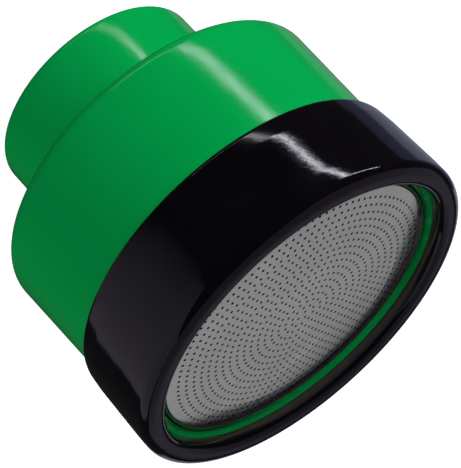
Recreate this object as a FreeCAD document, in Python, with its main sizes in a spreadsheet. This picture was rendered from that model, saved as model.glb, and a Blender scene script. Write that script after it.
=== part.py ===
import FreeCAD, Part
import math
import os
import Sketcher

# Garden watering rose: a moulded drum with a narrow collar that screws onto a
# hose, a disc with rings of fine holes, and a rubber bumper round the front.
# Millimetres. Z runs along the rose, from the inlet (Z = 0) to the face.

doc = FreeCAD.newDocument("watering_rose")
sheet = doc.addObject("Spreadsheet::Sheet", "Dims")

DIMS = [
    # collar and inlet
    ("collar_rad", 23.50), ("collar_top_rad", 23.35), ("collar_in_rad", 20.20),
    ("collar_edge", 2.80), ("socket_out_rad", 16.20), ("thread_rad", 12.30),
    ("thread_lead_in", 1.00), ("thread_end_z", 11.50), ("recess_rad", 12.90),
    ("seat_z", 16.00), ("pocket_z", 20.70),
    ("bore_rad", 7.90), ("throat_rad", 13.50), ("throat_z", 19.20),
    # drum
    ("drum_z", 21.55), ("drum_rad", 37.30), ("drum_front_rad", 36.62),
    ("drum_edge", 2.60), ("floor_z", 25.10), ("chamber_rad", 33.70),
    ("shoulder_z", 52.90), ("spigot_rad", 35.30), ("spigot_top_z", 62.30),
    ("waist_fillet", 0.80),
    # ribs behind the collar skin
    ("rib_count", 10), ("rib_wide", 1.80), ("rib_base_z", 1.60),
    # diffuser posts
    ("post_ring_rad", 19.00), ("post_rad", 3.30), ("post_hole_rad", 1.25),
    ("post_top_z", 33.50), ("post_count", 3),
    # diffuser
    ("diff_rad", 27.00), ("diff_thick", 2.40), ("diff_hub_rad", 8.50),
    ("diff_cone_deep", 5.00), ("diff_crown", 1.60), ("diff_hole_rad", 1.40),
    ("diff_ring_a", 11.80), ("diff_ring_b", 15.30), ("diff_ring_c", 23.60),
    ("diff_count_a", 12), ("diff_count_b", 15), ("diff_count_c", 30),
    ("diff_screw_rad", 1.70),
    # screws
    ("screw_shank_rad", 1.22), ("screw_length", 6.50), ("screw_head_rad", 2.80),
    ("screw_head_tall", 1.80), ("screw_slot_wide", 0.80), ("screw_slot_deep", 0.90),
    # plate
    ("face_z", 67.45), ("plate_thick", 0.60), ("plate_crown_rad", 591.0),
    ("plate_crown_end", 23.10), ("plate_slope_rad", 40.0),
    ("plate_slope_end", 31.20), ("plate_edge_rad", 1.20),
    ("plate_flange_rad", 34.90), ("plate_flange_z", 63.40), ("pitch", 1.65), ("hole_rad", 0.31),
    ("ring_count", 18), ("ring_start", 0.615), ("seam_angle", 100.3),
    # gasket
    ("gasket_in_rad", 33.80), ("gasket_out_rad", 35.20), ("gasket_thick", 1.00),
    ("gasket_gap", 0.05),
    # face ring
    ("ring_in_rad", 32.30), ("ring_mouth_rad", 33.66), ("ring_bevel_z", 65.05),
    ("ring_top_z", 66.00), ("ring_flange_z", 64.05), ("ring_skirt_in_rad", 35.40),
    ("ring_skirt_rad", 36.70), ("ring_skirt_z", 53.10),
    # bumper
    ("bump_in_rad", 36.80), ("bump_rear_z", 48.40), ("bump_heel_rad", 38.05),
    ("bump_heel_z", 49.55), ("bump_rad", 38.84), ("bump_crest_z", 69.35),
    ("bump_round", 2.40), ("bump_lip_rad", 33.72), ("bump_lip_z", 66.07),
    # washer and strainer
    ("washer_rad", 12.15), ("washer_in_rad", 8.00), ("washer_z", 11.60),
    ("washer_thick", 3.00), ("rim_rad", 12.10), ("rim_in_rad", 10.20),
    ("rim_slot_rad", 11.10), ("rim_slot_half", 0.19), ("rim_z", 14.70),
    ("rim_thick", 1.20), ("gauze_rad", 11.00), ("gauze_thick", 0.34),
    ("gauze_pitch", 1.30), ("gauze_hole", 0.90), ("gauze_reach", 9.60),
]
D = {}
for row, (name, value) in enumerate(DIMS, start=1):
    cell_name, cell_value = "A%d" % row, "B%d" % row
    sheet.set(cell_name, name)
    sheet.set(cell_value, repr(value))
    sheet.setAlias(cell_value, name)
    D[name] = float(value)
doc.recompute()


def terms(spec):
    """Split 'face_z-plate_thick+1' into signed names and numbers."""
    return [t for t in spec.replace(" ", "").replace("-", "+-").split("+") if t]


def number(spec):
    total = 0.0
    for term in terms(spec):
        sign = -1.0 if term[0] == "-" else 1.0
        name = term.lstrip("-")
        total += sign * (D[name] if name in D else float(name))
    return total


def formula(spec):
    out = ""
    for term in terms(spec):
        sign = "-" if term[0] == "-" else "+"
        name = term.lstrip("-")
        out += " %s %s" % (sign, ("Dims." + name) if name in D else name)
    return out.strip().lstrip("+").strip()


def new_body(label):
    body = doc.addObject("PartDesign::Body", label)
    body.Label = label
    return body


def plane(body, role):
    return [f for f in body.Origin.OriginFeatures if f.Role == role][0]


def new_sketch(body, name, role, height=None):
    sk = body.newObject("Sketcher::SketchObject", name)
    sk.AttachmentSupport = [(plane(body, role), "")]
    sk.MapMode = "FlatFace"
    if height:
        sk.AttachmentOffset = FreeCAD.Placement(
            FreeCAD.Vector(0, 0, number(height)), FreeCAD.Rotation())
        sk.setExpression("AttachmentOffset.Base.z", formula(height))
    return sk


def pin_point(sk, geo, pos, xspec, yspec):
    """Tie one sketch point to the sheet along both sketch axes."""
    for kind, spec, axis in (("DistanceX", xspec, -2), ("DistanceY", yspec, -1)):
        value = number(spec)
        if abs(value) < 1e-9:
            sk.addConstraint(Sketcher.Constraint("PointOnObject", geo, pos, axis))
        else:
            if value > 0:
                index = sk.addConstraint(Sketcher.Constraint(kind, -1, 1, geo, pos, value))
                sk.setExpression("Constraints[%d]" % index, formula(spec))
            else:
                index = sk.addConstraint(Sketcher.Constraint(kind, geo, pos, -1, 1, -value))
                sk.setExpression("Constraints[%d]" % index, "-(" + formula(spec) + ")")


def add_polygon(sk, points):
    vec = [FreeCAD.Vector(number(a), number(b), 0) for a, b in points]
    first = sk.GeometryCount
    count = len(points)
    for i in range(count):
        sk.addGeometry(Part.LineSegment(vec[i], vec[(i + 1) % count]), False)
    for i in range(count):
        sk.addConstraint(Sketcher.Constraint(
            "Coincident", first + i, 2, first + (i + 1) % count, 1))
    for i, (a, b) in enumerate(points):
        pin_point(sk, first + i, 1, a, b)


def add_circle(sk, xspec, yspec, rspec):
    geo = sk.addGeometry(Part.Circle(
        FreeCAD.Vector(number(xspec), number(yspec), 0),
        FreeCAD.Vector(0, 0, 1), number(rspec)), False)
    pin_point(sk, geo, 3, xspec, yspec)
    index = sk.addConstraint(Sketcher.Constraint("Radius", geo, number(rspec)))
    sk.setExpression("Constraints[%d]" % index, formula(rspec))
    return geo


def turned(body, name, points):
    """A closed section in the XZ plane turned about Z."""
    sk = new_sketch(body, name + "_section", "XZ_Plane")
    add_polygon(sk, points)
    rev = body.newObject("PartDesign::Revolution", name)
    rev.Profile = sk
    rev.ReferenceAxis = (sk, ["V_Axis"])
    rev.Angle = 360
    doc.recompute()
    return rev


def circle_edges(feature, spots):
    """Names of the edges that are circles of the given radius and height."""
    names = []
    for i, edge in enumerate(feature.Shape.Edges, start=1):
        curve = edge.Curve
        if not isinstance(curve, Part.Circle):
            continue
        for rspec, zspec in spots:
            if (abs(curve.Radius - number(rspec)) < 0.02
                    and abs(curve.Center.z - number(zspec)) < 0.02
                    and math.hypot(curve.Center.x, curve.Center.y) < 0.01):
                names.append("Edge%d" % i)
    return names


def rounded(body, feature, name, spots, radius):
    names = circle_edges(feature, spots)
    fillet = body.newObject("PartDesign::Fillet", name)
    fillet.Base = (feature, names)
    fillet.Radius = number(radius)
    fillet.setExpression("Radius", formula(radius))
    doc.recompute()
    return fillet


def pad_up(body, sk, name, length, subtract=False):
    kind = "PartDesign::Pocket" if subtract else "PartDesign::Pad"
    feat = body.newObject(kind, name)
    feat.Profile = sk
    feat.Length = number(length)
    feat.setExpression("Length", formula(length))
    if subtract:
        feat.Reversed = True
    doc.recompute()
    return feat


def ring_of(body, feature, name, count):
    pattern = body.newObject("PartDesign::PolarPattern", name)
    pattern.Originals = [feature]
    pattern.Axis = (plane(body, "Z_Axis"), [""])
    pattern.Angle = 360
    pattern.Occurrences = int(D[count])
    pattern.setExpression("Occurrences", "Dims." + count)
    body.Tip = pattern
    doc.recompute()
    return pattern


# ---------------------------------------------------------------- body shell
shell = new_body("body_shell")
section = turned(shell, "shell_turned", [
    ("collar_in_rad", "0"), ("collar_rad", "0"),
    ("collar_top_rad", "drum_z"), ("drum_rad", "drum_z"),
    ("drum_front_rad", "shoulder_z"), ("spigot_rad", "shoulder_z"),
    ("spigot_rad", "spigot_top_z"), ("chamber_rad", "spigot_top_z"),
    ("chamber_rad", "floor_z"), ("throat_rad", "floor_z"),
    ("bore_rad", "throat_z"), ("bore_rad", "seat_z"),
    ("recess_rad", "seat_z"), ("recess_rad", "thread_end_z"),
    ("thread_rad", "thread_end_z"), ("thread_rad", "thread_lead_in"),
    ("thread_rad+thread_lead_in", "0"), ("socket_out_rad", "0"),
    ("socket_out_rad", "pocket_z"), ("collar_in_rad", "pocket_z"),
])
edge = rounded(shell, section, "collar_round", [("collar_rad", "0")], "collar_edge")
edge = rounded(shell, edge, "drum_round", [("drum_rad", "drum_z")], "drum_edge")
edge = rounded(shell, edge, "waist_round", [("collar_top_rad", "drum_z")], "waist_fillet")

rib_sketch = new_sketch(shell, "rib_outline", "XY_Plane", "rib_base_z")
D["rib_half"] = D["rib_wide"] / 2.0
sheet.set("A%d" % (len(DIMS) + 1), "rib_half")
sheet.set("B%d" % (len(DIMS) + 1), repr(D["rib_half"]))
sheet.setAlias("B%d" % (len(DIMS) + 1), "rib_half")
doc.recompute()
add_polygon(rib_sketch, [
    ("socket_out_rad-0.6", "-rib_half"), ("collar_in_rad+0.6", "-rib_half"),
    ("collar_in_rad+0.6", "rib_half"), ("socket_out_rad-0.6", "rib_half")])
rib = pad_up(shell, rib_sketch, "rib", "pocket_z-rib_base_z+0.5")
ribs = ring_of(shell, rib, "ribs", "rib_count")

post_sketch = new_sketch(shell, "post_outline", "XY_Plane", "floor_z-0.4")
add_circle(post_sketch, "post_ring_rad", "0", "post_rad")
post = pad_up(shell, post_sketch, "post", "post_top_z-floor_z+0.4")
posts = ring_of(shell, post, "posts", "post_count")
before = posts.Shape.Volume
drill_sketch = new_sketch(shell, "post_drill_outline", "XY_Plane", "floor_z+0.3")
add_circle(drill_sketch, "post_ring_rad", "0", "post_hole_rad")
drill = pad_up(shell, drill_sketch, "post_drill", "post_top_z-floor_z+1", subtract=True)
drills = ring_of(shell, drill, "post_drills", "post_count")
if not drills.Shape.Volume < before - 50:
    raise RuntimeError("post holes cut nothing")

# ------------------------------------------------------------------ face ring
ring = new_body("face_ring")
ring_turned = turned(ring, "ring_turned", [
    ("ring_in_rad", "ring_flange_z"), ("ring_skirt_in_rad", "ring_flange_z"),
    ("ring_skirt_in_rad", "ring_skirt_z"), ("ring_skirt_rad", "ring_skirt_z"),
    ("ring_skirt_rad", "ring_top_z"), ("ring_mouth_rad", "ring_top_z"),
    ("ring_in_rad", "ring_bevel_z")])

# ------------------------------------------------------------- rubber bumper
bumper = new_body("bumper_ring")
bump_turned = turned(bumper, "bumper_turned", [
    ("bump_in_rad", "bump_rear_z"), ("bump_heel_rad", "bump_rear_z"),
    ("bump_rad", "bump_heel_z"), ("bump_rad", "bump_crest_z"),
    ("bump_lip_rad", "bump_crest_z"),
    ("bump_lip_rad", "bump_lip_z"), ("bump_in_rad", "bump_lip_z")])
bump_edge = rounded(bumper, bump_turned, "crest_round",
                    [("bump_rad", "bump_crest_z"), ("bump_lip_rad", "bump_crest_z")], "bump_round")
bump_edge = rounded(bumper, bump_edge, "heel_round",
                    [("bump_rad", "bump_heel_z"), ("bump_heel_rad", "bump_rear_z")], "0.5")

# --------------------------------------------------------------- plate gasket
gasket = new_body("plate_gasket")
gasket_sketch = new_sketch(gasket, "gasket_outline", "XY_Plane", "spigot_top_z+gasket_gap")
add_circle(gasket_sketch, "0", "0", "gasket_out_rad")
add_circle(gasket_sketch, "0", "0", "gasket_in_rad")
pad_up(gasket, gasket_sketch, "gasket_flat", "gasket_thick")

# ------------------------------------------------------------------ diffuser
diffuser = new_body("diffuser_disc")
diff = turned(diffuser, "diffuser_turned", [
    ("0", "post_top_z-diff_cone_deep"), ("diff_hub_rad", "post_top_z+0.05"),
    ("diff_rad", "post_top_z+0.05"), ("diff_rad", "post_top_z+diff_thick"),
    ("diff_hub_rad", "post_top_z+diff_thick"),
    ("diff_hub_rad-2.5", "post_top_z+diff_thick+diff_crown"),
    ("0", "post_top_z+diff_thick+diff_crown")])
full = diff.Shape.Volume
for tag in ("a", "b", "c"):
    jet_sketch = new_sketch(diffuser, "jet_outline_" + tag, "XY_Plane", "post_top_z-1")
    add_circle(jet_sketch, "diff_ring_" + tag, "0", "diff_hole_rad")
    jet = pad_up(diffuser, jet_sketch, "jet_" + tag, "diff_thick+3", subtract=True)
    last = ring_of(diffuser, jet, "jets_" + tag, "diff_count_" + tag)
screw_hole_sketch = new_sketch(diffuser, "screw_hole_outline", "XY_Plane", "post_top_z-1")
add_circle(screw_hole_sketch, "post_ring_rad", "0", "diff_screw_rad")
screw_hole = pad_up(diffuser, screw_hole_sketch, "screw_hole", "diff_thick+3", subtract=True)
last = ring_of(diffuser, screw_hole, "screw_holes", "post_count")
if not last.Shape.Volume < full - 400:
    raise RuntimeError("diffuser holes cut nothing")

# -------------------------------------------------------------- diffuser screws
def screw_shape():
    top = D["post_top_z"] + 0.05 + D["diff_thick"] + 0.02
    shank = Part.makeCylinder(D["screw_shank_rad"], D["screw_length"] + 0.2,
                              FreeCAD.Vector(0, 0, top - D["screw_length"]))
    tip = Part.makeCone(0.35, D["screw_shank_rad"], 1.1,
                        FreeCAD.Vector(0, 0, top - D["screw_length"] - 1.1))
    rad, tall = D["screw_head_rad"], D["screw_head_tall"]
    head = Part.makeCylinder(rad, tall, FreeCAD.Vector(0, 0, top))
    head = head.makeFillet(tall * 0.45, [e for e in head.Edges
                                         if isinstance(e.Curve, Part.Circle)
                                         and e.Curve.Center.z > top + tall - 0.01])
    body = head.fuse(shank).fuse(tip)
    wide, deep = D["screw_slot_wide"], D["screw_slot_deep"]
    for length, width in ((2.9, wide), (wide, 2.9)):
        slot = Part.makeBox(length, width, deep + 1)
        slot.translate(FreeCAD.Vector(-length / 2, -width / 2, top + tall - deep))
        body = body.cut(slot)
    body = body.removeSplitter()
    return body.Solids[0]


screws = doc.addObject("Part::Feature", "diffuser_screws")
screws.Label = "diffuser_screws"
made = []
for i in range(int(D["post_count"])):
    one = screw_shape()
    one.translate(FreeCAD.Vector(D["post_ring_rad"], 0, 0))
    one.rotate(FreeCAD.Vector(0, 0, 0), FreeCAD.Vector(0, 0, 1), 360.0 * i / D["post_count"])
    made.append(one)
screws.Shape = Part.makeCompound(made)
screws.Placement = FreeCAD.Placement()

# ----------------------------------------------------------------- rose plate
P = FreeCAD.Vector


def arc(centre, rad, t0, t1):
    """An arc in the XZ plane; its angles are measured from +Z towards +X."""
    at = [P(centre[0] + rad * math.sin(t), 0, centre[1] + rad * math.cos(t))
          for t in (t0, (t0 + t1) / 2, t1)]
    return Part.Arc(at[0], at[1], at[2]).toShape()


def line(a, b):
    return Part.makeLine(P(a[0], 0, a[1]), P(b[0], 0, b[1]))


# A shallow crown, a steeper border, a small bend down, a short skirt, and a
# small bend out to the flange that the ring clamps. The arcs are tangent.
top, thick = D["face_z"], D["plate_thick"]
crown, slope, bend = D["plate_crown_rad"], D["plate_slope_rad"], D["plate_edge_rad"]
foot, flange, small = D["plate_flange_z"], D["plate_flange_rad"], 0.35
c1 = (0.0, top - crown)
t1 = math.asin(D["plate_crown_end"] / crown)
c2 = (c1[0] + (crown - slope) * math.sin(t1), c1[1] + (crown - slope) * math.cos(t1))
t2 = math.asin((D["plate_slope_end"] - c2[0]) / slope)
c3 = (c2[0] + (slope - bend) * math.sin(t2), c2[1] + (slope - bend) * math.cos(t2))
quarter = math.pi / 2
out, low = c3[0] + bend, foot + thick + small
c4 = (out + small, low)
section_edges = [
    arc(c1, crown, 0, t1), arc(c2, slope, t1, t2), arc(c3, bend, t2, quarter),
    line((out, c3[1]), (out, low)), arc(c4, small, -quarter, -math.pi),
    line((c4[0], foot + thick), (flange, foot + thick)),
    line((flange, foot + thick), (flange, foot)), line((flange, foot), (c4[0], foot)),
    arc(c4, small + thick, -math.pi, -quarter), line((out - thick, low), (out - thick, c3[1])),
    arc(c3, bend - thick, quarter, t2), arc(c2, slope - thick, t2, t1),
    arc(c1, crown - thick, t1, 0), line((0, top - thick), (0, top)),
]
dish = Part.Face(Part.Wire(Part.__sortEdges__(section_edges)))
dish = dish.revolve(P(0, 0, 0), P(0, 0, 1), 360)

# The holes are drawn in the outline of a thick slab, and the dish is what the
# slab leaves of it.
outer = Part.Wire(Part.makeCircle(flange + 2, P(0, 0, foot - 2)))
inner = []
for k in range(int(D["ring_count"])):
    radius = (k + D["ring_start"]) * D["pitch"]
    count = int(round(2 * math.pi * (k + 0.6)))
    if k == 0:
        count, radius = 3, 0.67 * D["pitch"]
    for i in range(count):
        angle = math.radians(D["seam_angle"]) + 2 * math.pi * i / count
        inner.append(Part.Wire(Part.makeCircle(
            D["hole_rad"], P(radius * math.cos(angle), radius * math.sin(angle), foot - 2))))
slab = Part.makeFace([outer] + inner, "Part::FaceMakerBullseye")
slab = slab.extrude(P(0, 0, top - foot + 4))
plate_shape = dish.common(slab)
if len(plate_shape.Solids) != 1 or not plate_shape.Volume < dish.Volume - 100:
    raise RuntimeError("the plate's holes cut nothing")
plate = doc.addObject("Part::Feature", "rose_plate")
plate.Label = "rose_plate"
plate.Shape = plate_shape.Solids[0]
plate.Placement = FreeCAD.Placement()

# --------------------------------------------------------------- hose washer
washer = new_body("hose_washer")
washer_sketch = new_sketch(washer, "washer_outline", "XY_Plane", "washer_z")
add_circle(washer_sketch, "0", "0", "washer_rad")
add_circle(washer_sketch, "0", "0", "washer_in_rad")
washer_pad = pad_up(washer, washer_sketch, "washer_flat", "washer_thick")
rounded(washer, washer_pad, "washer_round",
        [("washer_rad", "washer_z"), ("washer_in_rad", "washer_z"),
         ("washer_rad", "washer_z+washer_thick")], "0.3")

# ------------------------------------------------------------- strainer rim
rim = new_body("strainer_rim")
rim_turned = turned(rim, "rim_turned", [
    ("rim_in_rad", "rim_z"), ("rim_rad", "rim_z"),
    ("rim_rad", "rim_z+rim_thick"), ("rim_in_rad", "rim_z+rim_thick"),
    ("rim_in_rad", "rim_z+0.6+rim_slot_half"), ("rim_slot_rad", "rim_z+0.6+rim_slot_half"),
    ("rim_slot_rad", "rim_z+0.6-rim_slot_half"), ("rim_in_rad", "rim_z+0.6-rim_slot_half")])

# -------------------------------------------------------------- inlet gauze
gauze_low = D["rim_z"] + 0.6 - D["gauze_thick"] / 2
outer = Part.Wire(Part.makeCircle(D["gauze_rad"], P(0, 0, gauze_low)))
cells = []
half = D["gauze_hole"] / 2
steps = int(D["gauze_reach"] / D["gauze_pitch"]) + 1
for i in range(-steps, steps + 1):
    for j in range(-steps, steps + 1):
        x, y = i * D["gauze_pitch"], j * D["gauze_pitch"]
        if math.hypot(abs(x) + half, abs(y) + half) > D["gauze_reach"]:
            continue
        cells.append(Part.makePolygon([
            P(x - half, y - half, gauze_low), P(x + half, y - half, gauze_low),
            P(x + half, y + half, gauze_low), P(x - half, y + half, gauze_low),
            P(x - half, y - half, gauze_low)]))
gauze_face = Part.makeFace([outer] + cells, "Part::FaceMakerBullseye")
gauze = doc.addObject("Part::Feature", "inlet_gauze")
gauze.Label = "inlet_gauze"
gauze.Shape = gauze_face.extrude(P(0, 0, D["gauze_thick"]))
gauze.Placement = FreeCAD.Placement()

# -------------------------------------------------------------------- output
doc.recompute()
NODES = [shell, ring, bumper, gasket, diffuser, screws, plate, washer, rim, gauze]
for obj in doc.Objects:
    if "Invalid" in obj.State or "Error" in obj.State:
        raise RuntimeError("%s is %s" % (obj.Name, obj.State))
os.makedirs("parts", exist_ok=True)
for node in NODES:
    shape = node.Shape
    if shape.isNull() or not shape.isValid():
        raise RuntimeError("%s has no valid shape" % node.Label)
    if not shape.Solids:
        raise RuntimeError("%s is not solid" % node.Label)
    print(node.Label, "solids", len(shape.Solids), "volume", round(shape.Volume, 1),
          "z", round(shape.BoundBox.ZMin, 2), round(shape.BoundBox.ZMax, 2))
    shape.exportStep("parts/%s.step" % node.Label)
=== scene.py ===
import math

import bmesh
import bpy
import numpy as np
from mathutils import Matrix, Vector
from mathutils.geometry import delaunay_2d_cdt


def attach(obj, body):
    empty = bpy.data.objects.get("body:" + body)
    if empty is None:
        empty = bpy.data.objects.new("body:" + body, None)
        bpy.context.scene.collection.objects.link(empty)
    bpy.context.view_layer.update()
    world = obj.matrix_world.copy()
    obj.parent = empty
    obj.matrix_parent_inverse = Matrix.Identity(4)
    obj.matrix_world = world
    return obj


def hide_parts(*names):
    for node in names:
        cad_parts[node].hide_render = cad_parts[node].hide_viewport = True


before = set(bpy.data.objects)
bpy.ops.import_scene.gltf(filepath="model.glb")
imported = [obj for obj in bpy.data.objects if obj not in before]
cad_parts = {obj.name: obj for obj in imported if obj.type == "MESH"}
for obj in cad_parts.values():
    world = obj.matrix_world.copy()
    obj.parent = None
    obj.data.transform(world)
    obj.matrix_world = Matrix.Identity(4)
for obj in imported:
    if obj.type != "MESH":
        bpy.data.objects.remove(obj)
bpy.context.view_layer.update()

MM = 0.001
TAU = 2 * math.pi


# ------------------------------------------------------------------ geometry
def round_off(corners, fine=9):
    """Corners (radius, height, rounding) of a closed section, in millimetres,
    with every rounding drawn as a short arc."""
    out = []
    n = len(corners)
    for i in range(n):
        r, z, f = corners[i]
        here = np.array([r, z], float)
        if not f:
            out.append(here)
            continue
        before = np.array(corners[i - 1][:2], float) - here
        after = np.array(corners[(i + 1) % n][:2], float) - here
        lb, la = np.linalg.norm(before), np.linalg.norm(after)
        ub, ua = before / lb, after / la
        half = math.acos(max(-1, min(1, float(ub @ ua)))) / 2
        if half > math.pi / 2 - 1e-3:
            out.append(here)
            continue
        reach = min(f / math.tan(half), 0.49 * lb, 0.49 * la)
        f = reach * math.tan(half)
        mid = (ub + ua) / np.linalg.norm(ub + ua)
        centre = here + mid * (f / math.sin(half))
        a = here + ub * reach - centre
        b = here + ua * reach - centre
        a0, a1 = math.atan2(a[1], a[0]), math.atan2(b[1], b[0])
        turn = (a1 - a0 + math.pi) % TAU - math.pi
        steps = max(3, int(fine * abs(turn) / (math.pi / 2)) + 1)
        for k in range(steps + 1):
            t = a0 + turn * k / steps
            out.append(centre + f * np.array([math.cos(t), math.sin(t)]))
    return out


def split_long(points, longest):
    """Adds points along long straight runs of a closed section."""
    out = []
    n = len(points)
    for i in range(n):
        p, q = points[i], points[(i + 1) % n]
        out.append(p)
        parts = int(np.linalg.norm(q - p) / longest)
        for k in range(1, parts + 1):
            if k / (parts + 1) < 1:
                out.append(p + (q - p) * k / (parts + 1))
    return out


def turn_mesh(points, around=384):
    """A closed section turned about Z: vertices and faces, in metres."""
    verts, faces, rows = [], [], []
    for r, z in points:
        if r < 1e-6:
            rows.append([len(verts)])
            verts.append((0, 0, z * MM))
        else:
            rows.append(list(range(len(verts), len(verts) + around)))
            for k in range(around):
                a = TAU * k / around
                verts.append((r * math.cos(a) * MM, r * math.sin(a) * MM, z * MM))
    n = len(rows)
    for i in range(n):
        a, b = rows[i], rows[(i + 1) % n]
        if len(a) == 1 and len(b) == 1:
            continue
        for k in range(around):
            k2 = (k + 1) % around
            if len(a) == 1:
                faces.append((a[0], b[k2], b[k]))
            elif len(b) == 1:
                faces.append((a[k], a[k2], b[0]))
            else:
                faces.append((a[k], a[k2], b[k2], b[k]))
    return verts, faces


def make(name, verts, faces, body, replaces=(), sharp=32, material=None):
    me = bpy.data.meshes.new(name)
    me.from_pydata(verts, [], faces)
    return finish_piece(name, me, body, replaces, sharp, material)


def finish_piece(name, me, body, replaces=(), sharp=32, material=None):
    bm = bmesh.new()
    bm.from_mesh(me)
    bmesh.ops.remove_doubles(bm, verts=bm.verts, dist=1e-8)
    bmesh.ops.recalc_face_normals(bm, faces=bm.faces)
    limit = math.radians(sharp)
    for e in bm.edges:
        e.smooth = len(e.link_faces) == 2 and e.calc_face_angle(0) < limit
    for f in bm.faces:
        f.smooth = True
    bm.to_mesh(me)
    bm.free()
    me.update()
    ob = bpy.data.objects.new(name, me)
    bpy.context.scene.collection.objects.link(ob)
    if material:
        me.materials.clear()
        me.materials.append(material)
    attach(ob, body)
    if replaces:
        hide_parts(*replaces)
    return ob


def block(x0, x1, y0, y1, z0, z1):
    v = [(x, y, z) for x in (x0, x1) for y in (y0, y1) for z in (z0, z1)]
    f = [(0, 1, 3, 2), (4, 6, 7, 5), (0, 4, 5, 1), (2, 3, 7, 6), (0, 2, 6, 4), (1, 5, 7, 3)]
    return v, f


def join_lists(parts):
    verts, faces = [], []
    for v, f in parts:
        k = len(verts)
        verts += v
        faces += [tuple(i + k for i in face) for face in f]
    return verts, faces


def spun(part, angle):
    v, f = part
    c, s = math.cos(angle), math.sin(angle)
    return [(x * c - y * s, x * s + y * c, z) for x, y, z in v], f


# ----------------------------------------------------------------- materials
class Shade:
    """A small helper that lays nodes out for one material."""

    def __init__(self, name):
        self.mat = bpy.data.materials.new(name)
        self.mat.use_nodes = True
        self.nodes = self.mat.node_tree.nodes
        self.links = self.mat.node_tree.links
        self.nodes.clear()
        self.out = self.nodes.new("ShaderNodeOutputMaterial")
        self.bsdf = self.nodes.new("ShaderNodeBsdfPrincipled")
        self.links.new(self.bsdf.outputs[0], self.out.inputs[0])
        self.coord = self.nodes.new("ShaderNodeTexCoord").outputs["Object"]

    def set(self, **values):
        for key, value in values.items():
            self.bsdf.inputs[key.replace("_", " ")].default_value = value

    def link(self, a, b):
        self.links.new(a, b)

    def mapped(self, scale=(1, 1, 1), rotation=(0, 0, 0)):
        m = self.nodes.new("ShaderNodeMapping")
        m.inputs["Scale"].default_value = scale
        m.inputs["Rotation"].default_value = rotation
        self.link(self.coord, m.inputs["Vector"])
        return m.outputs[0]

    def noise(self, scale, detail=2.0, rough=0.5, vector=None, distortion=0.0):
        n = self.nodes.new("ShaderNodeTexNoise")
        n.inputs["Scale"].default_value = scale
        n.inputs["Detail"].default_value = detail
        n.inputs["Roughness"].default_value = rough
        n.inputs["Distortion"].default_value = distortion
        self.link(vector or self.coord, n.inputs["Vector"])
        return n.outputs["Fac"]

    def voronoi(self, scale, vector=None, feature="F1", rand=1.0):
        n = self.nodes.new("ShaderNodeTexVoronoi")
        n.feature = feature
        n.inputs["Scale"].default_value = scale
        n.inputs["Randomness"].default_value = rand
        self.link(vector or self.coord, n.inputs["Vector"])
        return n.outputs["Distance"]

    def ramp(self, fac, stops):
        r = self.nodes.new("ShaderNodeValToRGB")
        els = r.color_ramp.elements
        while len(els) < len(stops):
            els.new(0.5)
        for e, (pos, col) in zip(els, stops):
            e.position = pos
            e.color = tuple(col) + ((1.0,) if len(col) == 3 else ())
        self.link(fac, r.inputs["Fac"])
        return r.outputs["Color"]

    def remap(self, fac, lo, hi, to_lo, to_hi):
        m = self.nodes.new("ShaderNodeMapRange")
        m.inputs["From Min"].default_value = lo
        m.inputs["From Max"].default_value = hi
        m.inputs["To Min"].default_value = to_lo
        m.inputs["To Max"].default_value = to_hi
        self.link(fac, m.inputs["Value"])
        return m.outputs["Result"]

    def math(self, op, a, b=None):
        m = self.nodes.new("ShaderNodeMath")
        m.operation = op
        for k, v in enumerate((a, b)):
            if v is None:
                continue
            if isinstance(v, (int, float)):
                m.inputs[k].default_value = v
            else:
                self.link(v, m.inputs[k])
        return m.outputs[0]

    def mix(self, fac, a, b, kind="MIX"):
        m = self.nodes.new("ShaderNodeMix")
        m.data_type = "RGBA"
        m.blend_type = kind
        if isinstance(fac, (int, float)):
            m.inputs[0].default_value = fac
        else:
            self.link(fac, m.inputs[0])
        for k, v in ((6, a), (7, b)):
            if isinstance(v, tuple):
                m.inputs[k].default_value = v + ((1.0,) if len(v) == 3 else ())
            else:
                self.link(v, m.inputs[k])
        return m.outputs[2]

    def bump(self, height, strength, distance, normal=None):
        b = self.nodes.new("ShaderNodeBump")
        b.inputs["Strength"].default_value = strength
        b.inputs["Distance"].default_value = distance
        self.link(height, b.inputs["Height"])
        if normal:
            self.link(normal, b.inputs["Normal"])
        return b.outputs[0]

    def edge(self, width=0.0008):
        """1 on flat places and above it on outer edges, by pointiness."""
        g = self.nodes.new("ShaderNodeNewGeometry")
        return g.outputs["Pointiness"]

    def base(self, socket):
        self.link(socket, self.bsdf.inputs["Base Color"])

    def rough(self, socket):
        self.link(socket, self.bsdf.inputs["Roughness"])

    def normal(self, socket):
        self.link(socket, self.bsdf.inputs["Normal"])


def green_plastic():
    s = Shade("green_plastic")
    s.set(IOR=1.44, Specular_IOR_Level=0.5)
    cloudy = s.noise(28, 3, 0.55, distortion=0.4)
    flow = s.noise(60, 4, 0.6, vector=s.mapped((1, 1, 0.18)))
    tone = s.ramp(cloudy, [(0.30, (0.000, 0.388, 0.074)), (0.70, (0.000, 0.424, 0.086))])
    streak = s.ramp(flow, [(0.35, (0.92, 0.95, 0.94)), (0.65, (1.0, 1.0, 1.0))])
    col = s.mix(0.5, tone, streak, "MULTIPLY")
    # painted highlight: convex edges, found by pointiness, are mixed towards a paler green
    point = s.edge()
    painted_edge_light = s.remap(point, 0.515, 0.56, 0.0, 0.45)
    col = s.mix(painted_edge_light, col, (0.04, 0.62, 0.20))
    s.base(col)
    grain = s.noise(2300, 3, 0.65)
    peel = s.noise(420, 2, 0.5)
    scuff = s.noise(160, 5, 0.65)
    r = s.remap(grain, 0.3, 0.7, 0.06, 0.11)
    r = s.math("ADD", r, s.remap(scuff, 0.45, 0.8, -0.01, 0.05))
    s.rough(r)
    n = s.bump(grain, 0.24, 0.00006)
    n = s.bump(peel, 0.05, 0.0002, n)
    s.normal(n)
    return s.mat


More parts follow.
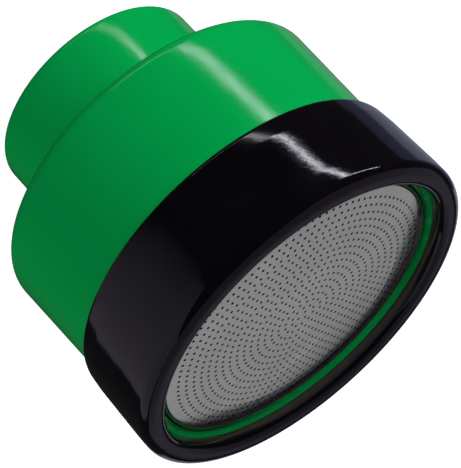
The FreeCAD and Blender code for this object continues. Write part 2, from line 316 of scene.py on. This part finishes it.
def black_rubber():
    s = Shade("black_rubber")
    s.set(IOR=1.5, Specular_IOR_Level=0.5)
    cloudy = s.noise(55, 4, 0.6)
    bloom = s.noise(210, 5, 0.65)
    tone = s.ramp(cloudy, [(0.30, (0.0012, 0.0008, 0.0019)), (0.72, (0.0032, 0.0024, 0.0043))])
    dusty = s.remap(bloom, 0.55, 0.85, 0.0, 0.15)
    col = s.mix(dusty, tone, (0.014, 0.012, 0.015))
    # painted light: a paler brownish band on the lip's inner wall, low in the recess by the face, stands in for the lit
    # band there
    xyz = s.nodes.new("ShaderNodeSeparateXYZ")
    s.link(s.coord, xyz.inputs[0])
    radius = s.math("SQRT", s.math("ADD", s.math("MULTIPLY", xyz.outputs[0], xyz.outputs[0]),
                                   s.math("MULTIPLY", xyz.outputs[1], xyz.outputs[1])))
    inside = s.remap(radius, 0.0340, 0.0337, 0.0, 1.0)
    low = s.remap(xyz.outputs[2], 0.0679, 0.0667, 0.0, 1.0)
    painted_lit_band = s.math("MULTIPLY", s.math("MULTIPLY", inside, low), s.remap(bloom, 0.3, 0.7, 0.55, 1.0))
    col = s.mix(painted_lit_band, col, (0.045, 0.037, 0.030))
    s.base(col)
    grain = s.noise(2300, 3, 0.65)
    r = s.remap(grain, 0.3, 0.7, 0.03, 0.07)
    r = s.math("ADD", r, s.remap(bloom, 0.45, 0.85, 0.0, 0.05))
    s.rough(r)
    n = s.bump(grain, 0.17, 0.00005)
    n = s.bump(s.noise(300, 2, 0.5), 0.08, 0.0002, n)
    s.normal(n)
    return s.mat


def satin_steel(name="satin_steel", tone=0.52, rough=0.34):
    s = Shade(name)
    s.set(Metallic=1.0, Anisotropic=0.2)
    fine = s.noise(900, 3, 0.6, vector=s.mapped((0.06, 1.0, 1.0)))
    cloud = s.noise(70, 3, 0.55)
    col = s.ramp(cloud, [(0.3, (tone * 0.93, tone * 0.93, tone * 0.925)),
                         (0.7, (tone * 1.05, tone * 1.05, tone * 1.04))])
    s.base(col)
    r = s.remap(fine, 0.3, 0.7, rough - 0.04, rough + 0.06)
    s.rough(r)
    s.normal(s.bump(fine, 0.05, 0.00004))
    return s.mat


def soft_rubber(name, low, high, rough=0.62):
    s = Shade(name)
    s.set(IOR=1.5)
    cloud = s.noise(260, 4, 0.6)
    s.base(s.ramp(cloud, [(0.3, low), (0.7, high)]))
    grain = s.noise(2400, 2, 0.6)
    s.rough(s.remap(grain, 0.3, 0.7, rough - 0.08, rough + 0.1))
    s.normal(s.bump(grain, 0.25, 0.00006))
    return s.mat


def grey_plastic():
    s = Shade("grey_plastic")
    s.set(IOR=1.46)
    cloud = s.noise(90, 4, 0.55)
    col = s.ramp(cloud, [(0.3, (0.105, 0.110, 0.115)), (0.7, (0.135, 0.140, 0.146))])
    # painted highlight: convex edges, found by pointiness, are mixed towards a paler grey
    painted_edge_light = s.remap(s.edge(), 0.515, 0.56, 0.0, 0.4)
    s.base(s.mix(painted_edge_light, col, (0.23, 0.235, 0.24)))
    grain = s.voronoi(1700)
    s.rough(s.remap(grain, 0.0, 0.7, 0.44, 0.60))
    s.normal(s.bump(grain, 0.16, 0.00006))
    return s.mat


def brass():
    s = Shade("pressed_brass")
    s.set(Metallic=1.0)
    cloud = s.noise(500, 4, 0.6)
    s.base(s.ramp(cloud, [(0.3, (0.55, 0.36, 0.13)), (0.7, (0.74, 0.52, 0.23))]))
    s.rough(s.remap(cloud, 0.3, 0.7, 0.24, 0.40))
    s.normal(s.bump(s.noise(1800, 2, 0.5), 0.12, 0.00004))
    return s.mat


def screw_steel():
    s = Shade("screw_steel")
    s.set(Metallic=1.0)
    cloud = s.noise(700, 3, 0.6)
    s.base(s.ramp(cloud, [(0.3, (0.55, 0.55, 0.54)), (0.7, (0.70, 0.70, 0.69))]))
    s.rough(s.remap(cloud, 0.3, 0.7, 0.20, 0.34))
    s.normal(s.bump(s.noise(2600, 2, 0.5), 0.10, 0.00003))
    return s.mat


GREEN = green_plastic()
BLACK = black_rubber()
STEEL = satin_steel("satin_steel", 0.84, 0.13)
WIRE = satin_steel("wire_steel", 0.50, 0.28)
BORE = satin_steel("bore_steel", 0.05, 0.50)
SEAL = soft_rubber("seal_rubber", (0.018, 0.018, 0.019), (0.032, 0.032, 0.033))
WASHER = soft_rubber("washer_rubber", (0.26, 0.030, 0.018), (0.34, 0.045, 0.026))
GREY = grey_plastic()
BRASS = brass()
SCREW = screw_steel()


def repaint(node, material):
    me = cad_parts[node].data
    for i in range(len(me.materials)):
        me.materials[i] = material
    if not me.materials:
        me.materials.append(material)


repaint("diffuser_disc", GREY)
repaint("diffuser_screws", SCREW)
repaint("plate_gasket", SEAL)

# ---------------------------------------------------------------- body shell
shell_section = [
    (20.20, 0.00, 0.35), (23.50, 0.00, 2.80), (23.35, 21.55, 0.80),
    (37.30, 21.55, 2.60), (36.62, 52.90, 0.25), (35.30, 52.90, 0.15),
    (35.30, 62.30, 0.35), (33.70, 62.30, 0.35), (33.70, 25.10, 1.20),
    (13.50, 25.10, 1.00), (7.90, 19.20, 0.80), (7.90, 16.00, 0.20),
    (12.90, 16.00, 0.15), (12.90, 11.50, 0.10), (13.45, 11.30, 0.10),
    (13.45, 1.15, 0.10), (13.60, 0.00, 0.20), (16.20, 0.00, 0.35),
    (16.20, 20.70, 0.60), (20.20, 20.70, 0.60),
]
shell_parts = [turn_mesh(split_long(round_off(shell_section), 4.0))]
for k in range(10):
    shell_parts.append(spun(block(15.6 * MM, 20.8 * MM, -0.9 * MM, 0.9 * MM,
                                  1.6 * MM, 21.2 * MM), TAU * k / 10))
for k in range(3):
    tube = turn_mesh(round_off([(1.25, 24.8, 0), (3.3, 24.8, 0), (3.3, 33.5, 0.3),
                                (1.25, 33.5, 0.15)], 4), 48)
    v, f = tube
    v = [(x + 19.0 * MM, y, z) for x, y, z in v]
    shell_parts.append(spun((v, f), TAU * k / 3))


def thread(r_root, r_crest, pitch, z0, z1, start, steps=96):
    """A helical ridge with tapered ends inside the inlet."""
    turns = (z1 - z0) / pitch
    n = int(steps * turns)
    flank, crest = pitch * 0.36, pitch * 0.12
    verts, faces = [], []
    for i in range(n + 1):
        t = i / n
        a = start + TAU * turns * t
        z = z0 + (z1 - z0) * t
        grow = min(1.0, t * turns / 0.25, (1 - t) * turns / 0.25)
        rc = r_root + 0.25 - (r_root + 0.25 - r_crest) * max(0.02, grow)
        for r, dz in ((r_root + 0.25, -flank), (rc, -crest), (rc, crest), (r_root + 0.25, flank)):
            verts.append((r * math.cos(a) * MM, r * math.sin(a) * MM, (z + dz) * MM))
    for i in range(n):
        a, b = 4 * i, 4 * (i + 1)
        for k in range(4):
            k2 = (k + 1) % 4
            faces.append((a + k, a + k2, b + k2, b + k))
    faces.append((0, 3, 2, 1))
    e = 4 * n
    faces.append((e, e + 1, e + 2, e + 3))
    return verts, faces


shell_parts.append(thread(13.45, 12.35, 2.209, 2.3, 10.4, 0.4))
v, f = join_lists(shell_parts)
shell = make("shell_moulding", v, f, "shell", ("body_shell",), 32, GREEN)

# ----------------------------------------------------------------- face ring
ring_section = [
    (32.30, 64.05, 0.10), (35.40, 64.05, 0.15), (35.40, 53.10, 0.20),
    (36.70, 53.10, 0.30), (36.70, 66.00, 0.20), (33.66, 66.00, 0.12),
    (32.30, 65.05, 0.35),
]
v, f = turn_mesh(split_long(round_off(ring_section, 6), 3.0))
ring = make("face_ring_moulding", v, f, "ring", ("face_ring",), 32, GREEN)

# -------------------------------------------------------------- rubber bumper
bumper_section = [
    (36.80, 48.40, 0.15), (38.05, 48.40, 0.20), (38.22, 49.00, 1.0),
    (38.50, 52.20, 14.0), (38.84, 64.00, 40.0),
    (38.84, 69.35, 2.40), (33.72, 69.35, 2.40), (33.72, 66.07, 0.15),
    (36.80, 66.07, 0.10),
]
v, f = turn_mesh(split_long(round_off(bumper_section, 14), 2.5))
bumper = make("rubber_bumper", v, f, "bumper", ("bumper_ring",), 40, BLACK)

# ------------------------------------------------------------------ face disc
PITCH = 1.65
spots = []
for k in range(18):
    radius = (k + 0.615) * PITCH
    count = int(round(TAU * (k + 0.6)))
    if k == 0:
        count, radius = 3, 0.67 * PITCH
    for i in range(count):
        a = math.radians(100.3) + TAU * i / count
        spots.append((radius * math.cos(a), radius * math.sin(a)))


HOLE, THICK, TOP = 0.31, 0.6, 67.45
CROWN, CROWN_END, SLOPE, SLOPE_END, BEND = 591.0, 23.1, 40.0, 31.2, 1.2
C1 = (0.0, TOP - CROWN)
T1 = math.asin(CROWN_END / CROWN)
C2 = (C1[0] + (CROWN - SLOPE) * math.sin(T1), C1[1] + (CROWN - SLOPE) * math.cos(T1))
T2 = math.asin((SLOPE_END - C2[0]) / SLOPE)
C3 = (C2[0] + (SLOPE - BEND) * math.sin(T2), C2[1] + (SLOPE - BEND) * math.cos(T2))


def crown(r, deep):
    """Height of the disc's face (or of its underside) at a radius."""
    if r < CROWN_END:
        return C1[1] + math.sqrt((CROWN - deep) ** 2 - r * r)
    return C2[1] + math.sqrt((SLOPE - deep) ** 2 - (r - C2[0]) ** 2)


# The disc is a triangle mesh whose points lie on the holes' edges and on rings
# between them. It is made flat, and pressed to the crown's shape.
JOIN = 30.2
AROUND, EDGE = 14, 384
points, hole_loops = [], []
for x, y in spots:
    first = len(points)
    for k in range(AROUND):
        a = TAU * k / AROUND
        points.append((x + HOLE * math.cos(a), y + HOLE * math.sin(a)))
    hole_loops.append(list(range(first, first + AROUND)))
edge_loop = list(range(len(points), len(points) + EDGE))
for k in range(EDGE):
    points.append((JOIN * math.cos(TAU * k / EDGE), JOIN * math.sin(TAU * k / EDGE)))
for k in range(18):
    between = (k + 1.115) * PITCH
    if between > JOIN - 0.3:
        between = JOIN - 0.35
    count = int(TAU * between / 0.85)
    for i in range(count):
        a = TAU * (i + 0.37 * k) / count
        points.append((between * math.cos(a), between * math.sin(a)))
loops = hole_loops + [edge_loop]
fixed = [(loop[i], loop[(i + 1) % len(loop)]) for loop in loops for i in range(len(loop))]
flat_points, _, flat_faces, _, _, _ = delaunay_2d_cdt(
    [Vector(q) for q in points], fixed, [], 0, 1e-7, True)
assert len(flat_points) == len(points)
owner = {}
for h, loop in enumerate(hole_loops):
    for i in loop:
        owner[i] = h
kept = []
for face in flat_faces:
    held = {owner.get(i, -1) for i in face}
    if len(held) == 1 and -1 not in held:
        continue
    kept.append(tuple(face))
plate_verts, plate_faces = [], []
for deep in (0.0, THICK):
    for q in flat_points:
        plate_verts.append((q[0] * MM, q[1] * MM, crown(q.length, deep) * MM))
shift = len(flat_points)
plate_faces += kept
plate_faces += [tuple(i + shift for i in reversed(face)) for face in kept]
wall_start = len(plate_faces)
for loop in hole_loops:
    for i in range(AROUND):
        a, b = loop[i], loop[(i + 1) % AROUND]
        plate_faces.append((a, a + shift, b + shift, b))
wall_end = len(plate_faces)


def arc_points(centre, rad, t0, t1, n):
    """Points of an arc; its angles are measured from +Z towards +X."""
    return [np.array([centre[0] + rad * math.sin(t0 + (t1 - t0) * i / n),
                      centre[1] + rad * math.cos(t0 + (t1 - t0) * i / n)])
            for i in range(n + 1)]


QUARTER = math.pi / 2
OUT, LOW = C3[0] + BEND, 64.35
C4 = (OUT + 0.35, LOW)
TJ = math.asin((JOIN - C2[0]) / SLOPE)
TK = math.asin((JOIN - C2[0]) / (SLOPE - THICK))
rim_section = (arc_points(C2, SLOPE, TJ, T2, 4)[:-1] + arc_points(C3, BEND, T2, QUARTER, 12)
               + arc_points(C4, 0.35, -QUARTER, -math.pi, 5)
               + [np.array([34.9, 64.00]), np.array([34.9, 63.40])]
               + arc_points(C4, 0.95, -math.pi, -QUARTER, 7)
               + arc_points(C3, BEND - THICK, QUARTER, T2, 8)[:-1]
               + arc_points(C2, SLOPE - THICK, T2, TK, 4))
rv, rf = turn_mesh(rim_section)
rf = rf[:-384]
pv, pf = join_lists([(plate_verts, plate_faces), (rv, rf)])
plate = make("perforated_disc", pv, pf, "plate", ("rose_plate",), 30, STEEL)
plate.data.materials.append(BORE)
for face in plate.data.polygons:
    c, n = face.center, face.normal
    if abs(n.z) < 0.2 and math.hypot(c.x, c.y) < 29.6 * MM:
        face.material_index = 1

# ------------------------------------------------------------ washer, strainer
v, f = turn_mesh(round_off([(8.0, 11.6, 0.35), (12.15, 11.6, 0.45), (12.15, 14.6, 0.45),
                            (8.0, 14.6, 0.35)], 6), 192)
washer = make("flat_washer", v, f, "washer", ("hose_washer",), 40, WASHER)

v, f = turn_mesh(round_off([(10.2, 14.7, 0.15), (12.1, 14.7, 0.3), (12.1, 15.9, 0.3),
                            (10.2, 15.9, 0.15), (10.2, 15.49, 0.0), (11.1, 15.49, 0.0),
                            (11.1, 15.11, 0.0), (10.2, 15.11, 0.0)], 5), 192)
rim = make("pressed_rim", v, f, "washer", ("strainer_rim",), 40, BRASS)


def wire(points, rad, sides=6):
    verts, faces = [], []
    n = len(points)
    for i, p in enumerate(points):
        a = points[max(0, i - 1)]
        b = points[min(n - 1, i + 1)]
        t = (b - a).normalized()
        side = t.cross(Vector((0, 0, 1))).normalized()
        up = side.cross(t).normalized()
        for k in range(sides):
            w = TAU * k / sides
            q = p + side * (rad * math.cos(w)) + up * (rad * math.sin(w))
            verts.append(tuple(q * MM))
    for i in range(n - 1):
        for k in range(sides):
            k2 = (k + 1) % sides
            faces.append((i * sides + k, i * sides + k2, (i + 1) * sides + k2, (i + 1) * sides + k))
    faces.append(tuple(range(sides - 1, -1, -1)))
    faces.append(tuple(range((n - 1) * sides, n * sides)))
    return verts, faces


wires = []
step, reach = 0.9, 10.9
count = int(reach / step)
for i in range(-count, count + 1):
    off = i * step
    half = math.sqrt(max(0, reach * reach - off * off))
    m = max(6, int(half * 2 / (step / 4)))
    for way in (0, 1):
        pts = []
        for k in range(m + 1):
            t = -half + 2 * half * k / m
            lift = 0.085 * math.cos(math.pi * t / step) * (1 if (i + way) % 2 == 0 else -1)
            pts.append(Vector((t, off, 15.3 + lift)) if way == 0 else Vector((off, t, 15.3 + lift)))
        wires.append(wire(pts, 0.08))
v, f = join_lists(wires)
gauze = make("woven_gauze", v, f, "washer", ("inlet_gauze",), 50, WIRE)

# ------------------------------------------------------------------ the stage
cam_right = Vector((-0.73123451, 0.30115661, 0.61204639))
cam_up = Vector((-0.68212615, -0.32283780, -0.65610949))
cam_ahead = Vector((0.0, 0.89726276, -0.44149694))
cam_data = bpy.data.cameras.new("camera")
cam = bpy.data.objects.new("camera", cam_data)
bpy.context.scene.collection.objects.link(cam)
cam_data.sensor_width = 36
cam_data.lens = 177.804
cam_data.clip_start, cam_data.clip_end = 0.01, 50
turn = Matrix((cam_right, cam_up, -cam_ahead)).transposed()
cam.matrix_world = Matrix.Translation((-0.000554, -0.406917, 0.244343)) @ turn.to_4x4()
bpy.context.scene.camera = cam

# pale paper: a round floor that turns up into a wall a long way behind
stage_verts, stage_faces = [(0.0, 0.0, 0.0)], []
SWEEP = [(2.4, 0.0), (2.7, 0.04), (2.9, 0.16), (3.0, 0.4), (3.0, 2.4), (2.6, 3.2), (1.6, 3.8)]
for r, z in SWEEP:
    for k in range(96):
        stage_verts.append((r * math.cos(TAU * k / 96), r * math.sin(TAU * k / 96), z))
for k in range(96):
    k2 = (k + 1) % 96
    stage_faces.append((0, 1 + k, 1 + k2))
    for row in range(len(SWEEP) - 1):
        a, b = 1 + 96 * row, 97 + 96 * row
        stage_faces.append((a + k, b + k, b + k2, a + k2))
floor_mesh = bpy.data.meshes.new("floor")
floor_mesh.from_pydata(stage_verts, [], stage_faces)
for face in floor_mesh.polygons:
    face.use_smooth = True
floor = bpy.data.objects.new("floor", floor_mesh)
floor.location = (0, 0, -0.0003)
bpy.context.scene.collection.objects.link(floor)
s = Shade("floor_paper")
fibre = s.noise(900, 3, 0.6)
s.base(s.ramp(fibre, [(0.3, (0.84, 0.84, 0.84)), (0.7, (0.88, 0.88, 0.88))]))
s.set(Roughness=0.9, Specular_IOR_Level=0.0)
s.bsdf.inputs["Emission Color"].default_value = (1, 1, 1, 1)
s.bsdf.inputs["Emission Strength"].default_value = 1.05
floor_mesh.materials.append(s.mat)
floor.visible_glossy = False
floor.visible_diffuse = False
floor.visible_shadow = False

world = bpy.data.worlds.new("studio")
bpy.context.scene.world = world
world.use_nodes = True
world.node_tree.nodes["Background"].inputs[0].default_value = (1, 1, 1, 1)
world.node_tree.nodes["Background"].inputs[1].default_value = 0.02

MIDDLE = Vector((0, 0, 0.0375))


def seen(right, up, ahead):
    """A direction given as the camera sees it, in the row's frame."""
    return (cam_right * right + cam_up * up + cam_ahead * ahead).normalized()


def softbox(name, where, distance, wide, tall, power, long_way=None, colour=(1, 1, 1), glossy=True, diffuse=True, only=None,
            fade=None):
    data = bpy.data.lights.new(name, "AREA")
    data.shape = "RECTANGLE"
    data.size, data.size_y = wide, tall
    data.energy = power
    data.color = colour
    ob = bpy.data.objects.new(name, data)
    bpy.context.scene.collection.objects.link(ob)
    way = seen(*where)
    z = way
    x = seen(*long_way) if long_way else cam_right
    x = (x - z * x.dot(z)).normalized()
    y = z.cross(x)
    ob.matrix_world = Matrix.Translation(MIDDLE + way * distance) @ Matrix((x, y, z)).transposed().to_4x4()
    ob.visible_camera = False
    ob.visible_glossy = glossy
    ob.visible_diffuse = diffuse
    if fade:
        # brightness rises from one end of the light's width, and then stays
        data.use_nodes = True
        tree = data.node_tree
        place = tree.nodes.new("ShaderNodeNewGeometry")
        split = tree.nodes.new("ShaderNodeSeparateXYZ")
        ease = tree.nodes.new("ShaderNodeMapRange")
        ease.interpolation_type = "SMOOTHSTEP"
        ease.inputs["From Max"].default_value = 0.45
        ease.inputs["To Min"].default_value, ease.inputs["To Max"].default_value = fade
        tree.links.new(place.outputs["Parametric"], split.inputs[0])
        tree.links.new(split.outputs[0], ease.inputs["Value"])
        tree.links.new(ease.outputs[0], tree.nodes["Emission"].inputs["Strength"])
    if only:
        receivers = bpy.data.collections.new(name + "_receivers")
        receivers.objects.link(only)
        ob.light_linking.receiver_collection = receivers
    return ob


# narrow strip overhead, its long way runs to the right, and its dimmer end
LONG = (0.867, -0.405, 0.289)
softbox("strip", (0.425, 0.905, -0.075), 0.85, 0.64, 0.020, 0.80, LONG, (0.96, 0.98, 1.08), diffuse=False)
softbox("strip_end", (-0.300, 1.10, -0.280), 0.85, 0.66, 0.016, 0.34, LONG, diffuse=False)
# cool wall behind, up and to the right
softbox("wall", (0.27, 0.32, 0.90), 1.1, 1.1, 1.1, 0.40, (1, 0, 0), (0.70, 0.76, 1.40), only=bumper)
softbox("wall_low", (0.25, 0.28, 0.92), 1.1, 0.62, 0.62, 0.20, (1, 0, 0), (0.90, 0.95, 1.10), diffuse=False)
# what the face disc mirrors; its lower edge stays above the rubber's rim
softbox("face_light", (0.6035, -0.647, 0.466), 0.9, 1.0, 0.53, 0.415, (1, 0.933, 0), only=plate)
softbox("face_shade", (0.387, -0.413, 0.824), 0.9, 1.0, 0.26, 0.028, (1, 0.933, 0), (0.42, 0.75, 1.3), only=plate)
# as bright overhead, so that the disc is a pale steel from other sides too
softbox("overhead", (0.437, -0.468, -0.768), 1.05, 2.6, 3.0, 6.1, (-0.731, -0.682, 0.0), only=plate)
# warm bounce from the table to the left, fading upwards
softbox("bounce", (-0.86, -0.46, -0.12), 1.0, 2.8, 1.48, 3.6, (0.50, -0.86, 0), (1.0, 0.92, 1.08), only=bumper,
        fade=(0.0, 1.0))
# dim light from below on the right, and a cool one behind it
softbox("under", (0.68, -0.62, -0.10), 1.0, 2.4, 2.2, 2.55, (1, 0.93, 0), (1.0, 0.88, 1.22), diffuse=False, only=bumper)
softbox("rim", (0.24, -0.28, 0.93), 1.1, 1.0, 0.6, 0.66, (1, 0.85, 0), (0.93, 0.88, 1.20), diffuse=False, only=bumper)
# key from above and in front
softbox("key", (0.55, 0.75, -0.55), 1.2, 0.9, 0.9, 16.8, (1, 0, 0), glossy=False)
softbox("fill", (-0.85, -0.85, -0.20), 1.4, 1.2, 1.2, 12.6, (1, 0, 0), glossy=False)

scene = bpy.context.scene
scene.view_settings.view_transform = "Standard"
scene.view_settings.look = "None"
scene.view_settings.exposure = 0.0
scene.view_settings.gamma = 1.0
